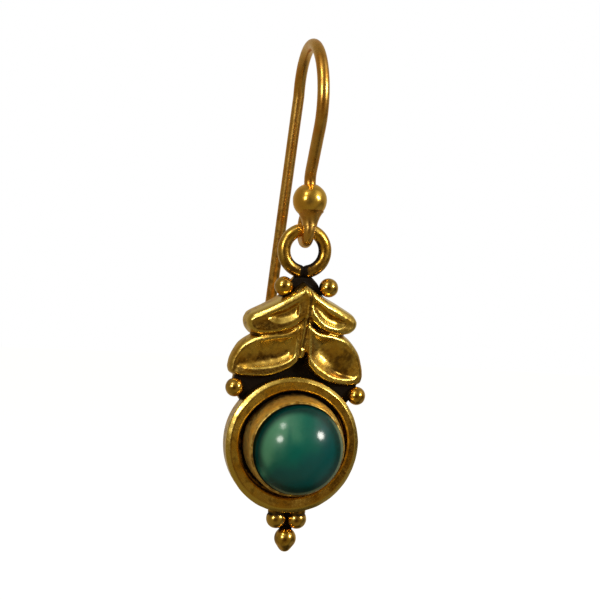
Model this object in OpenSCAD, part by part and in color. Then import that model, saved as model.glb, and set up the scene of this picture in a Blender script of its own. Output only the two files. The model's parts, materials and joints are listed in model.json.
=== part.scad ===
// Drop earring: a fish-hook ear wire with a drilled bead and an eye, and a cast and soldered drop
// with two pairs of leaves over a ring and a round cabochon in a bezel cup.
// The origin is the inner top of the hook's arch, where the ear lobe carries it.
// X is to the right, Y to the back of the ear, Z up.

/* [Ear wire] */
// Diameter of the ear wire
wire_d = 0.8; // [0.7:0.05:0.8]
// Radius of the arch, to the middle of the wire
arch_r = 3.6; // [3.2:0.1:4]
// Radius of the small bend over the bead, to the middle of the wire
neck_r = 1; // [1:0.1:1.4]
// Lean of the long back leg from the vertical, in degrees
back_lean = 14.5; // [8:0.5:18]
// Length of the straight back leg
back_len = 15.4; // [10:0.1:18]
// How far the back leg leans to the left, in degrees
leg_splay = 4.6; // [0:0.2:6]
// How far the arch and the bead lean to the left over the eye, in degrees
hook_side = 2.7; // [0:0.1:4]
// Radius of the eye that holds the drop, to the middle of the wire
eye_r = 0.96; // [0.92:0.02:1.1]
// How far round the eye the wire goes, in degrees
eye_sweep = 248; // [230:1:248]

/* [Bead] */
// Diameter of the bead on the ear wire
bead_d = 2.34; // [2:0.02:2.6]
// Depth of the bead's centre below the inner top of the arch
bead_drop = 10.1; // [9.6:0.05:11]
// Gap between the bead's bore and the wire
bead_gap = 0.03; // [0.02:0.01:0.05]
// Distance from the bead's centre down to the eye's centre
eye_drop = 1.82; // [1.8:0.02:2.2]
// Largest radius of the flared collar under the bead
collar_r = 0.95; // [0.7:0.05:1]

/* [Hanging ring] */
// Diameter of the hanging ring's wire
ring_wire_d = 0.9; // [0.8:0.02:0.94]
// Radius of the hanging ring, to the middle of its wire
ring_r = 1.45; // [1.4:0.05:1.7]
// Width of the open slot at the bottom of the hanging ring
ring_slot = 0.3; // [0.2:0.05:0.5]
// How far the drop leans, its foot to the back, in degrees
hang_tilt = 5; // [0:0.5:8]

/* [Back plate] */
// Thickness of the back plate
plate_t = 0.6; // [0.5:0.05:0.9]
// Distance from the plate's back to the middle plane of the hanging ring
plate_back = 0.4; // [0.3:0.05:0.5]
// How far the plate reaches past the leaves' rims
plate_margin = 0.24; // [0.15:0.01:0.3]

/* [Leaves] */
// Height of the upper leaves over the plate, at the middle of the drop
upper_leaf_h = 1.35; // [1.1:0.05:1.5]
// Height of the lower leaves over the plate, at the middle of the drop
lower_leaf_h = 1.1; // [1:0.05:1.2]
// Radius of the crown that the leaves' tops fall away on, to the left and right
crown_r = 11; // [11:0.5:20]
// Depth of the hollow in an upper leaf
upper_hollow = 0.45; // [0.3:0.05:0.5]
// Depth of the hollow in a lower leaf
lower_hollow = 0.6; // [0.3:0.05:0.7]
// Width of the stem between the lower leaves
stem_w = 0.34; // [0.2:0.02:0.4]

/* [Stone and setting] */
// Diameter of the cabochon
stone_d = 6; // [5.5:0.1:6.2]
// Height of the straight girdle of the cabochon
girdle_h = 0.95; // [0.6:0.05:1.2]
// Rise of the cabochon's dome over its girdle
dome_h = 1.55; // [1:0.05:2]
// Wall of the bezel cup
cup_wall = 0.24; // [0.2:0.02:0.3]
// How much wider the cup's radius is at its foot
cup_flare = 0.18; // [0:0.02:0.2]
// Height of the cup's rim over the middle plane of the hanging ring
cup_top = 2.5; // [2.2:0.05:2.8]
// Outer diameter of the flat ring round the cup
band_d = 9.34; // [8.9:0.02:9.4]
// Width of the flat ring's band
band_w = 0.78; // [0.6:0.01:0.85]
// Height of the flat ring's top over the middle plane of the hanging ring
band_top = 1.2; // [0.8:0.05:1.5]
// Distance from the hanging ring's centre down to the stone's centre
stone_drop = 13.22; // [13:0.02:13.6]

/* [Granules] */
// Diameter of the two granules beside the hanging ring
top_granule_d = 1.32; // [1.1:0.02:1.4]
// Diameter of the two granules below the lower leaves
side_granule_d = 1.28; // [1.1:0.02:1.4]
// Diameter of the two granules under the flat ring
foot_granule_d = 1.38; // [1.2:0.02:1.44]
// Diameter of the last granule
last_granule_d = 1.52; // [1.3:0.02:1.6]

/* [Hidden] */
$fn = 64;

// Small gap that keeps separate pieces apart
gap = 0.03;
// How much thicker the wire is where two stretches of it join
sleeve = 0.002;
// How far a raised piece reaches into the one that carries it
sink = 0.1;
wire_r = wire_d / 2;

// Ear wire, drawn in its own plane: the first number is the way back, the second is up.
// Over the foot of the bead, this plane leans to the left.
arch_c = [0, wire_r - arch_r];
bead_z = -bead_drop;
neck_rise = 0.05;
neck_z = bead_z + bead_d / 2 + neck_rise;
neck_c = [-neck_r, neck_z];
neck_to_arch = arch_c - neck_c;
leg_lean = atan2(neck_to_arch[1], neck_to_arch[0]) - acos((arch_r + neck_r) / norm(neck_to_arch));
leg_start = neck_c + neck_r * [cos(leg_lean), sin(leg_lean)];
leg_end = arch_c - arch_r * [cos(leg_lean), sin(leg_lean)];
back_start = arch_c + arch_r * [cos(back_lean), sin(back_lean)];
bead_foot = bead_z - bead_d / 2 - gap;
foot_x = -bead_foot * sin(hook_side);
foot_z = bead_foot * cos(hook_side);
eye_c = [eye_r, foot_z - (bead_foot - bead_z + eye_drop)];
// Flared collar: how far it reaches up and down from the bead's foot, and its smallest radius
collar_up = 0.4;
collar_down = 0.45;
collar_thin = wire_r + 0.05;

// Drop, drawn on its own face: X right, Y up, Z towards the viewer, from the hanging ring's centre
ring_wire_r = ring_wire_d / 2;
hang_z = eye_c[1] - (eye_r - wire_r) + ring_wire_r + gap;
plate_z = -plate_back;
plate_top = plate_z + plate_t;
band_r = band_d / 2;
stone_r = stone_d / 2;
cup_r = stone_r + gap + cup_wall;
lip_h = 0.25;
lip_slope = 0.1;
lip_lap = 0.05;
girdle_top = cup_top - lip_h;
seat_z = girdle_top - girdle_h;
dome_r = (stone_r * stone_r + dome_h * dome_h) / (2 * dome_h);
dome_c = girdle_top + dome_h - dome_r;
band_edge = 0.12;

// Granules: the place of each one's centre on the face, and its diameter
// columns: x, y, z, diameter
foot_granules = [
    [-0.75, -18.72, 0.1, foot_granule_d],
    [0.73, -18.76, 0.1, foot_granule_d]
];
granules = concat(foot_granules, [
    [-1.58, -2.4, 0.42, top_granule_d],
    [1.62, -2.36, 0.42, top_granule_d],
    [-4.3, -9.56, 0.32, side_granule_d],
    [4.36, -9.9, 0.32, side_granule_d]
]);
last_granule = [0, -20.12, 0.1];
// Small point under the last granule: how far it sticks out, and the angle that it spreads over
last_tip = 0.19;
tip_spread = 50;
// Short drums between the flat ring and the foot granules
drum_r = 0.58;
drum_h = 0.85;
drum_y = -17.5;

// Parts of the back plate that no leaf covers, as right halves that reach a little past the middle:
// the neck at the hanging ring, the lap behind the flat ring and the tail between the foot granules
// columns: x, y
plate_neck = [[-0.1, -1.95], [1.4, -1.95], [1.4, -3], [-0.1, -3]];
plate_lap = [[-0.1, -7], [0, -7], [4.1, -8.4], [4.2, -9.6], [3, -11], [-0.1, -11]];
plate_tail = [[-0.1, -17.3], [0.95, -17.3], [0.8, -18.6], [0.3, -19.8], [-0.1, -19.8]];

// Stem between the lower leaves: its two ends, and how far it stays below the leaves
stem_y = [-4, -7.3];
stem_low = 0.2;

// Outline of the right leaves' rims on the face, one smooth stroke per side of the leaf
// columns: x, y
upper_ridge = [[0, -2.34], [1.5, -3.36], [2.9, -4.1], [3.6, -4.42]];
upper_end = [[3.6, -4.42], [3.66, -4.8], [3.52, -5.3], [3.24, -5.62]];
upper_foot = [[3.24, -5.62], [2.05, -5.56], [0.95, -5.16], [0.3, -4.62], [0, -4.2]];
lower_back = [[0.1, -4.7], [2.3, -5.45], [3.62, -6.36], [4.2, -7.2], [4.52, -8.1], [4.5, -8.62]];
lower_foot = [
    [4.5, -8.62], [4.28, -8.88], [3.45, -8.86], [2.5, -8.72], [1.48, -8.32], [0.58, -7.72], [0.1, -7.44]
];
curve_steps = 4;

// Hollows in the leaves: the two ends of each one's long axis, and its half width
upper_hollow_ends = [[0.3, -3.5], [3.3, -4.9]];
upper_hollow_w = 0.58;
lower_hollow_ends = [[0.3, -5.5], [4.35, -8.6]];
lower_hollow_w = 1.22;

// Cubic curve through the points p, with n steps between neighbours
function knot(p, i) = p[max(0, min(len(p) - 1, i))];
function blend(a, b, c, d, t) =
    b + 0.5 * t * (c - a + t * (2 * a - 5 * b + 4 * c - d + t * (3 * (b - c) + d - a)));
function curve(p, n) = [
    for (i = [0:len(p) - 2], k = [0:n - 1])
        blend(knot(p, i - 1), knot(p, i), knot(p, i + 1), knot(p, i + 2), k / n)
];
upper_outline = [
    each curve(upper_ridge, curve_steps), each curve(upper_end, curve_steps),
    each curve(upper_foot, curve_steps), [0, -4.2]
];
lower_outline = [each curve(lower_back, curve_steps), each curve(lower_foot, curve_steps), [0.1, -7.44]];

module in_wire_plane() {
    rotate([90, 0, 90]) children();
}

// Bent stretch of wire about the point c, from angle a, through the angle sweep
module bend(c, r, a, sweep, wr) {
    translate([c[0], c[1], 0]) rotate([0, 0, a])
        rotate_extrude(angle = sweep) translate([r, 0]) circle(wr);
}

// Straight stretch of wire from the point p to the point q
module stretch(p, q, wr) {
    translate([p[0], p[1], 0]) rotate([0, 90, atan2(q[1] - p[1], q[0] - p[0])])
        cylinder(r = wr, h = norm(q - p));
}

// Hair-thin sleeve at the point p that joins a bend to a straight stretch lying at the angle a
module join(p, a) {
    translate([p[0], p[1], 0]) rotate([0, 90, a])
        cylinder(r = wire_r + sleeve, h = 20 * sleeve, center = true);
}

// Leans the arch and the bead to the left about the inner top of the arch
module leaning() {
    rotate([0, -hook_side, 0]) children();
}

// Straight back leg with a rounded end
module back_leg() {
    translate([back_start[0], back_start[1], 0]) rotate([0, 0, back_lean - 90]) rotate([0, 90 + leg_splay, 0]) {
        sphere(wire_r + sleeve);
        cylinder(r = wire_r, h = back_len);
        translate([0, 0, back_len]) sphere(wire_r + sleeve);
    }
}

// Flared collar that closes the eye under the bead
module collar() {
    difference() {
        translate([0, 0, foot_z - collar_down])
            cylinder(r1 = collar_thin, r2 = collar_r, h = collar_down + collar_up);
        translate([-foot_x, 0, 0]) leaning() translate([0, 0, bead_z]) sphere(bead_d / 2 + gap);
    }
}

module ear_hook() {
    color("goldenrod") leaning() in_wire_plane() {
        stretch([0, bead_foot], [0, neck_z], wire_r);
        join([0, neck_z], 90);
        bend(neck_c, neck_r, 0, leg_lean, wire_r);
        join(leg_start, 90 + leg_lean);
        stretch(leg_start, leg_end, wire_r);
        join(leg_end, 90 + leg_lean);
        bend(arch_c, arch_r, back_lean, 180 + leg_lean - back_lean, wire_r);
        back_leg();
    }
    color("goldenrod") translate([foot_x, 0, 0]) {
        translate([0, 0, foot_z]) sphere(wire_r + sleeve);
        collar();
        in_wire_plane() {
            bend(eye_c, eye_r, 180, eye_sweep, wire_r);
            join([0, eye_c[1]], 90);
            stretch([0, eye_c[1]], [0, foot_z], wire_r);
        }
    }
}

module hook_bead() {
    color("gold") leaning() translate([0, 0, bead_z]) difference() {
        sphere(d = bead_d);
        cylinder(r = wire_r + bead_gap, h = 2 * bead_d, center = true);
    }
}

module on_drop_face() {
    translate([foot_x, eye_c[0], hang_z]) rotate([hang_tilt, 0, 0])
        translate([0, 0, -ring_r]) rotate([90, 0, 0]) children();
}

module both_sides() {
    children();
    mirror([1, 0, 0]) children();
}

// Height of the leaves' crowned top, which is h over the plate at the middle, at the distance x from it
function crown(h, x) = plate_top + h - crown_r + sqrt(crown_r * crown_r - x * x);

// Barrel-shaped cutter along the line from a to b. It leaves a pointed hollow between them in a flat top,
// with the half width w and the depth deep at its middle.
module hollow(a, b, w, deep) {
    steps = 4;
    skim = 0.03;
    r = (w * w + deep * deep) / (2 * deep);
    run = b - a;
    half = norm(run) / 2 + skim;
    rise = atan2(run[2], norm([run[0], run[1]]));
    translate((a + b) / 2 + [0, 0, r - deep]) rotate([0, 90 - rise, atan2(run[1], run[0])])
        rotate_extrude() polygon(concat(
            [[0, half], [0, -half]],
            [for (i = [-steps:steps]) [r - (deep + skim) * pow(i / steps, 2), half * i / steps]]
        ));
}

module leaf(outline, h, ends, w, deep) {
    root = [ends[0][0], ends[0][1], crown(h, ends[0][0])];
    tip = [ends[1][0], ends[1][1], crown(h, ends[1][0])];
    difference() {
        intersection() {
            translate([0, 0, plate_top - sink]) linear_extrude(h + 2 * sink) polygon(outline);
            translate([0, 0, plate_top + h - crown_r]) rotate([90, 0, 0])
                cylinder(r = crown_r, h = stone_drop);
        }
        hollow(root, tip, w, deep);
    }
}

module plate_outline() {
    offset(delta = plate_margin) {
        both_sides() polygon(upper_outline);
        both_sides() polygon(lower_outline);
        both_sides() polygon(plate_neck);
        both_sides() polygon(plate_lap);
    }
}

module back_plate() {
    translate([0, 0, plate_z]) linear_extrude(plate_t) plate_outline();
    translate([0, 0, plate_z]) linear_extrude(plate_t - sink) both_sides() polygon(plate_tail);
}

module hanging_ring() {
    slot = ring_slot / ring_r * 180 / PI;
    rotate([0, 0, -90 + slot / 2]) rotate_extrude(angle = 360 - slot)
        translate([ring_r, 0]) circle(ring_wire_r);
}

module leaves() {
    both_sides() leaf(upper_outline, upper_leaf_h, upper_hollow_ends, upper_hollow_w, upper_hollow);
    both_sides() leaf(lower_outline, lower_leaf_h, lower_hollow_ends, lower_hollow_w, lower_hollow);
    translate([0, 0, plate_top - sink]) linear_extrude(lower_leaf_h + sink - stem_low) polygon([
        [-stem_w / 2, stem_y[0]], [stem_w / 2, stem_y[0]], [stem_w / 3, stem_y[1]], [-stem_w / 3, stem_y[1]]
    ]);
}

// Flat ring and bezel cup, turned about the stone's axis
module setting() {
    inner = band_r - band_w;
    translate([0, -stone_drop, 0]) rotate_extrude() polygon([
        [0, plate_z], [band_r, plate_z],
        [band_r, band_top - band_edge], [band_r - band_edge, band_top],
        [inner + band_edge / 2, band_top], [inner, band_top - band_edge / 2],
        [inner, plate_top], [cup_r + cup_flare, plate_top],
        [cup_r, girdle_top], [cup_r - lip_slope, cup_top], [stone_r - lip_lap, cup_top],
        [stone_r + gap, girdle_top], [stone_r + gap, seat_z - gap], [0, seat_z - gap]
    ]);
}

module granule_clusters() {
    for (g = granules) translate([g[0], g[1], g[2]]) sphere(d = g[3]);
    translate(last_granule) rotate([90, 0, 0]) rotate_extrude() {
        intersection() {
            circle(d = last_granule_d);
            translate([0, -last_granule_d]) square(2 * last_granule_d);
        }
        r = last_granule_d / 2;
        polygon([[0, 0], [0, r + last_tip], [r * sin(tip_spread), r * cos(tip_spread)]]);
    }
    for (g = foot_granules) translate([g[0], drum_y, g[2]]) rotate([90, 0, 0])
        cylinder(r = drum_r, h = drum_h);
}

module drop_setting() {
    color("darkgoldenrod") on_drop_face() {
        hanging_ring();
        back_plate();
        leaves();
        setting();
        granule_clusters();
    }
}

module onyx_cabochon() {
    color("teal") on_drop_face() translate([0, -stone_drop, 0]) intersection() {
        translate([0, 0, seat_z]) cylinder(r = stone_r, h = girdle_h + dome_h + 1);
        translate([0, 0, dome_c]) sphere(dome_r);
    }
}

ear_hook();
hook_bead();
drop_setting();
onyx_cabochon();
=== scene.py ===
"""Drop earring: a fish-hook ear wire with a bead, and an aged brass drop round a teal onyx cabochon.

Lengths are in millimetres until a mesh is made. The drop is drawn on its own face: X right, Y up, Z towards
the viewer, from the centre of the hanging ring, where the joint is.
"""
import json
import math

import bmesh
import bpy
import numpy as np
from mathutils import Matrix, Vector
from mathutils.bvhtree import BVHTree

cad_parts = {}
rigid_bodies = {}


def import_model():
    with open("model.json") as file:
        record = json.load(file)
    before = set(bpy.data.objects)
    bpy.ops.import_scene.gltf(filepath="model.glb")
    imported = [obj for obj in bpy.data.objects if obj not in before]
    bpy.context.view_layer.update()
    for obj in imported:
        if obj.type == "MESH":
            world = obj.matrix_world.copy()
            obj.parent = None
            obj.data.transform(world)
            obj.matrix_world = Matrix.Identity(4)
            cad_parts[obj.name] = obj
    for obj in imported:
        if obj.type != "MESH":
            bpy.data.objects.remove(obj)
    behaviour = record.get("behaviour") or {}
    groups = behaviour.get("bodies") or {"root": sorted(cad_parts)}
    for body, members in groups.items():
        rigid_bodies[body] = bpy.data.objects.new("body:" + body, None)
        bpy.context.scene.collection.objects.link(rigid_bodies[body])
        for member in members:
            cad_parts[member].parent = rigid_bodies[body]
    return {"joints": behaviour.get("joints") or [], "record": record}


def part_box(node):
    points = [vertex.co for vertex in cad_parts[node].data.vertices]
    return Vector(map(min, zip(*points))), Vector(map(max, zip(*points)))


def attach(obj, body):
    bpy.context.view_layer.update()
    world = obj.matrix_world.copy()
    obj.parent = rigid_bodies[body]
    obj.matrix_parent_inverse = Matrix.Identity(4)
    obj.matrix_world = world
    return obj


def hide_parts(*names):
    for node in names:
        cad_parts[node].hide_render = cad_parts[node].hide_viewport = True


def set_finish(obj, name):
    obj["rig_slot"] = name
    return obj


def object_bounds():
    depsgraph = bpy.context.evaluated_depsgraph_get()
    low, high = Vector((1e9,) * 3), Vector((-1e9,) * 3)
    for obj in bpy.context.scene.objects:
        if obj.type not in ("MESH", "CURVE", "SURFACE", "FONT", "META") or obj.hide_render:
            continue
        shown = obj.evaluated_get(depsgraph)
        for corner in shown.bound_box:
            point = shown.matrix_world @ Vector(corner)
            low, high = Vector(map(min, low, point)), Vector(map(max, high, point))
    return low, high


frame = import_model()
CAD_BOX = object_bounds()
MM = 0.001

# Places from the frame
SWING = frame["joints"][0]
PIVOT = Vector(SWING["pos_m"])
LEG_MOUNT = next(m for m in frame["record"]["mounts"] if m["name"] == "ear_wire_leg")
BEAD_LOW, BEAD_HIGH = (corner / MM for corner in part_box("hook_bead"))
STONE_LOW, STONE_HIGH = (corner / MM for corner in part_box("onyx_cabochon"))

# Ear wire, with its bends measured on the wire's middle line
WIRE_R = LEG_MOUNT["dims"]["r_mm"]
WIRE_STEP = 0.11
WIRE_SIDES = 32
ARCH_R = 3.6
NECK_R = 1.0
NECK_RISE = 0.05
BACK_LEN = 15.4
# The long leg leans to the back and splays to the left, and the whole hook leans to the left
BACK_LEAN = math.radians(14.5)
LEG_SPLAY = math.radians(4.6)
HOOK_SIDE = math.radians(2.7)
# The eye's middle lies that far below the bead's, and its wire goes that far round
EYE_R = 0.96
EYE_DROP = 1.82
EYE_SWEEP = math.radians(248)

# Bead, and the collar that closes the eye under it. The bead's height is along the leaning hook.
BEAD_R = (BEAD_HIGH.x - BEAD_LOW.x) / 2
BEAD_MIDDLE = (BEAD_HIGH + BEAD_LOW) / 2
BEAD_Z = -BEAD_MIDDLE.length
GAP = 0.03
BORE_R = WIRE_R + GAP
# The point of the hook's leaning line just below the bead
FOOT = BEAD_MIDDLE * ((BEAD_R + GAP - BEAD_Z) / -BEAD_Z)
COLLAR_R = 0.95
COLLAR_THIN = WIRE_R + 0.12
COLLAR_DOWN = 0.55

# Hanging ring and back plate
RING_R = 1.45
RING_WIRE_R = 0.45
RING_SLOT = 0.3
PLATE_BACK = -0.4
PLATE_TOP = 0.2

# Leaves: how high their crests stand over the plate, and how they curve to the sides
UPPER_H = 1.35
LOWER_H = 1.1
CROWN_R = 11.0

# Stone, cup and flat ring. The stone shows a little wider in the photo than its solid is.
STONE_WIDER = 0.1
STONE_R = (STONE_HIGH.x - STONE_LOW.x) / 2 + STONE_WIDER
STONE_DROP = 13.22
GIRDLE_TOP = 2.25
DOME_H = 1.55
# The stone sits a little askew in its cup, and faces to the upper left
STONE_TILT = math.radians(8)
STONE_TURN = math.radians(150)
STONE_DEPTH = 0.6
CUP_R = 3.36
CUP_FOOT_R = 3.52
CUP_TOP = 2.38
# How far the hand-bent lip stands to the right of the cup's foot and above it
LIP_SHIFT = (-0.05, -0.14)
BAND_R = 4.67
BAND_W = 0.84
BAND_TOP = 1.2
ROUND_SEGMENTS = 240

# Granules, by their centres
# columns: name, x, y, z, diameter
GRANULES = [
    ("granule_top_left", -1.37, -2.48, 0.42, 1.32),
    ("granule_top_right", 1.79, -2.44, 0.42, 1.32),
    ("granule_side_left", -4.3, -9.56, 0.32, 1.28),
    ("granule_side_right", 4.36, -9.9, 0.32, 1.28),
    ("granule_foot_left", -0.75, -18.72, 0.1, 1.38),
    ("granule_foot_right", 0.73, -18.76, 0.1, 1.38),
]
LAST_GRANULE = (0.0, -20.12, 0.1, 1.52)
LAST_TIP = 0.19
# Short drums that join the foot granules to the flat ring
DRUM_R = 0.58
DRUM_Y = -17.5
DRUM_H = 0.85


# Frame of the drop's face
def face_matrix():
    normal = -Vector(SWING["axis"]).normalized()
    right = Vector((1, 0, 0))
    up = normal.cross(right)
    turn = Matrix((right, up, normal)).transposed().to_4x4()
    return Matrix.Translation(PIVOT) @ turn @ Matrix.Scale(MM, 4)


FACE = face_matrix()
WORLD_MM = Matrix.Scale(MM, 4)
LEANING = Matrix.Rotation(-HOOK_SIDE, 4, "Y")


# Small numeric tools
def smoothstep(low, high, x):
    t = np.clip((x - low) / (high - low), 0, 1)
    return t * t * (3 - 2 * t)


def smooth_max(a, b, k):
    """The larger of a and b, with a fillet about k wide where they meet."""
    h = np.clip(0.5 + 0.5 * (a - b) / k, 0, 1)
    return b + (a - b) * h + k * h * (1 - h)


def ripple(points, amount, length, seed):
    """Smooth random bumps with about that length, the same at every run."""
    rng = np.random.default_rng(seed)
    waves = 9
    total = np.zeros(len(points))
    for _ in range(waves):
        way = rng.normal(size=3)
        way *= 2 * math.pi / length * rng.uniform(0.6, 1.5) / np.linalg.norm(way)
        total += np.sin(points @ way + rng.uniform(0, 2 * math.pi))
    return amount * total / math.sqrt(waves)


def spot(x, y, middle_x, middle_y, wide, high, amount=1.0):
    """Soft patch round a middle."""
    return amount * np.exp(-((x - middle_x) / wide) ** 2 - ((y - middle_y) / high) ** 2)


def curve(points, steps=8):
    """Smooth curve through the points."""
    p = np.array(points, float)
    p = np.vstack([2 * p[0] - p[1], p, 2 * p[-1] - p[-2]])
    out = []
    for a, b, c, d in zip(p, p[1:], p[2:], p[3:]):
        for t in np.arange(steps) / steps:
            out.append(b + 0.5 * t * (c - a + t * (2 * a - 5 * b + 4 * c - d + t * (3 * (b - c) + d - a))))
    return np.array(out + [p[-2]])


def distance_to(x, y, line):
    """Distance from each point to an open line."""
    best = np.full(x.shape, 1e9)
    for (ax, ay), (bx, by) in zip(line, line[1:]):
        dx, dy = bx - ax, by - ay
        t = np.clip(((x - ax) * dx + (y - ay) * dy) / (dx * dx + dy * dy + 1e-12), 0, 1)
        best = np.minimum(best, np.hypot(x - ax - t * dx, y - ay - t * dy))
    return best


def inside(x, y, outline):
    """Whether each point lies inside a closed outline."""
    hit = np.zeros(x.shape, bool)
    for (ax, ay), (bx, by) in zip(outline, np.roll(outline, -1, axis=0)):
        if ay == by:
            continue
        hit ^= ((ay > y) != (by > y)) & (x < (bx - ax) * (y - ay) / (by - ay) + ax)
    return hit


def rounded(profile, radius, steps=5, spacing=0.16):
    """Close points along a profile of (r, z, size of the corner's rounding), which is radius if left out."""
    out = [np.array(profile[0][:2], float)]
    for before, corner, after in zip(profile, profile[1:], profile[2:]):
        a, b, c = (np.array(point[:2], float) for point in (before, corner, after))
        size = corner[2] if len(corner) > 2 else radius
        start = b + (a - b) * min(0.48, size / np.linalg.norm(a - b))
        end = b + (c - b) * min(0.48, size / np.linalg.norm(c - b))
        for t in np.linspace(0, 1, steps + 1):
            out.append((1 - t) ** 2 * start + 2 * t * (1 - t) * b + t * t * end)
    out.append(np.array(profile[-1][:2], float))
    close = [out[0]]
    for p in out[1:]:
        n = max(1, int(np.linalg.norm(p - close[-1]) / spacing))
        last = close[-1]
        close += [last + (p - last) * (i + 1) / n for i in range(n)]
    return np.array(close)


# Making meshes and objects
SHARP_ANGLE = math.radians(50)


def link(name, data):
    thing = bpy.data.objects.new(name, data)
    bpy.context.scene.collection.objects.link(thing)
    return thing


def smooth(mesh):
    mesh.shade_smooth()
    mesh.set_sharp_from_angle(angle=SHARP_ANGLE)


def grid_faces(rows, cols, wrap):
    """Quads between the rows of a grid, whose columns may close on themselves."""
    last = cols if wrap else cols - 1
    r, c = np.meshgrid(np.arange(rows - 1), np.arange(last), indexing="ij")
    d = (c + 1) % cols
    return np.stack([r * cols + c, r * cols + d, (r + 1) * cols + d, (r + 1) * cols + c], -1).reshape(-1, 4)


def make_piece(name, points, faces, matrix, body, slot, replaced, material, shade=None):
    """A closed mesh from points in millimetres, which rides on its body and stands for its node."""
    mesh = bpy.data.meshes.new(name)
    mesh.from_pydata(np.asarray(points).tolist(), [], [list(map(int, f)) for f in faces])
    bm = bmesh.new()
    bm.from_mesh(mesh)
    bmesh.ops.recalc_face_normals(bm, faces=bm.faces)
    bm.to_mesh(mesh)
    bm.free()
    mesh.transform(matrix)
    smooth(mesh)
    if shade is not None:
        store(mesh, "patina_and_painted_light", shade)
    mesh.materials.append(material)
    piece = link(name, mesh)
    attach(piece, body)
    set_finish(piece, slot)
    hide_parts(replaced)
    return piece


def store(mesh, name, values):
    """Keeps a number for each of the mesh's points, which a material can read."""
    attribute = mesh.attributes.get(name) or mesh.attributes.new(name, "FLOAT", "POINT")
    attribute.data.foreach_set("value", np.asarray(values, np.float32))


def read(mesh, name):
    values = np.zeros(len(mesh.vertices), np.float32)
    if mesh.attributes.get(name):
        mesh.attributes[name].data.foreach_get("value", values)
    return values


def coordinates(mesh):
    co = np.zeros(len(mesh.vertices) * 3, np.float32)
    mesh.vertices.foreach_get("co", co)
    return co.reshape(-1, 3)


def face_height(mesh):
    """Height of each of a mesh's points over the drop's face, in millimetres."""
    back_to_face = np.array(FACE.inverted())
    return coordinates(mesh) @ back_to_face[2, :3] + back_to_face[2, 3]


def lathe(profile, segments):
    """Points and faces of a profile of (r, z) turned about Z, open at its two ends."""
    a = np.arange(segments) * 2 * math.pi / segments
    r, z = profile[:, 0][:, None], profile[:, 1][:, None]
    points = np.stack([r * np.cos(a), r * np.sin(a), z + 0 * a], -1).reshape(-1, 3)
    return points, grid_faces(len(profile), segments, True).tolist()


def pole_faces(count, segments):
    """Triangles that close a grid of count points with the two points after it, one at each end."""
    last = count - segments
    faces = []
    for i in range(segments):
        j = (i + 1) % segments
        faces += [[count, j, i], [count + 1, last + i, last + j]]
    return faces


def turned(profile, segments):
    """Points and faces of a profile of (r, z) turned about Z. Its two ends close on the axis."""
    points, faces = lathe(profile, segments)
    faces += pole_faces(len(points), segments)
    return np.vstack([points, [0, 0, profile[0, 1]], [0, 0, profile[-1, 1]]]), faces


def ball(radius, rows=28, segments=44):
    a = np.linspace(-math.pi / 2, math.pi / 2, rows + 2)[1:-1]
    points, faces = turned(np.stack([np.cos(a), np.sin(a)], -1), segments)
    points[-2:, 2] = -1, 1
    return points * radius, faces


def tube(path, radius, sides, across):
    """A round wire along a path with rounded ends. across is roughly the normal of the path's plane."""
    path = np.asarray(path, float)
    ways = np.gradient(path, axis=0)
    ways /= np.linalg.norm(ways, axis=1)[:, None]
    turn = np.linspace(0, math.pi / 2, 8)[1:]
    cap = turn[:-1]
    head = [path[0] - ways[0] * radius * math.sin(t) for t in cap[::-1]]
    tail = [path[-1] + ways[-1] * radius * math.sin(t) for t in cap]
    line = np.vstack([head, path, tail])
    ways = np.vstack([[ways[0]] * len(cap), ways, [ways[-1]] * len(cap)])
    size = np.concatenate([np.cos(cap[::-1]), np.ones(len(path)), np.cos(cap)]) * radius
    side = np.cross(np.asarray(across, float), ways)
    side /= np.linalg.norm(side, axis=1)[:, None]
    up = np.cross(ways, side)
    a = np.arange(sides) * 2 * math.pi / sides
    ring = np.cos(a)[None, :, None] * side[:, None, :] + np.sin(a)[None, :, None] * up[:, None, :]
    points = (line[:, None, :] + size[:, None, None] * ring).reshape(-1, 3)
    faces = grid_faces(len(line), sides, True).tolist() + pole_faces(len(points), sides)
    return np.vstack([points, path[0] - ways[0] * radius, path[-1] + ways[-1] * radius]), faces


# Materials: red, green, blue and alpha, in linear light
# Light brass of worn crests and of painted highlights
WORN_AND_HIGHLIGHT_BRASS = (1.0, 0.75, 0.19, 1)
OLIVE_TARNISH = (0.5, 0.32, 0.07, 1)
# Brown of tarnish and of painted shade
BROWN_TARNISH_AND_SHADE = (0.36, 0.2, 0.04, 1)
BLACK_PATINA = (0.012, 0.007, 0.004, 1)
ONYX_DEEP = (0.003, 0.105, 0.11, 1)
ONYX_TEAL = (0.006, 0.16, 0.125, 1)
ONYX_MILK = (0.11, 0.38, 0.24, 1)
# Painted shade at the stone's edge under the bezel
ONYX_RIM_SHADE = (0.002, 0.055, 0.05, 1)
ONYX_LIT = (0.2, 0.28, 0.18, 1)
# columns: the shader's socket, its value
BRASS_CONSTANTS = [
    ("Specular IOR Level", 0.15),
]
ONYX_CONSTANTS = [
    ("Roughness", 0.17),
    ("IOR", 1.54),
    ("Subsurface Weight", 0.3),
    ("Subsurface Radius", (0.4, 1.0, 0.8)),
    ("Subsurface Scale", 0.0008),
    ("Specular IOR Level", 0.38),
    ("Coat Weight", 0.2),
    ("Coat Roughness", 0.1),
]
PAPER_CONSTANTS = [
    ("Base Color", (0.3, 0.3, 0.3, 1)),
    ("Roughness", 1.0),
    ("Specular IOR Level", 0.0),
    ("Emission Color", (1, 1, 1, 1)),
    ("Emission Strength", 0.93),
]
# In metres
DENT_DEPTH = 0.00002
SCRATCH_DEPTH = 0.000004
STONE_WAVE_DEPTH = 0.000006


def tree_of(name, constants):
    """A new material, its node tree, and its shader with those constant values."""
    material = bpy.data.materials.new(name)
    material.use_nodes = True
    shader = material.node_tree.nodes["Principled BSDF"]
    for socket, value in constants:
        shader.inputs[socket].default_value = value
    return material, material.node_tree, shader


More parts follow.
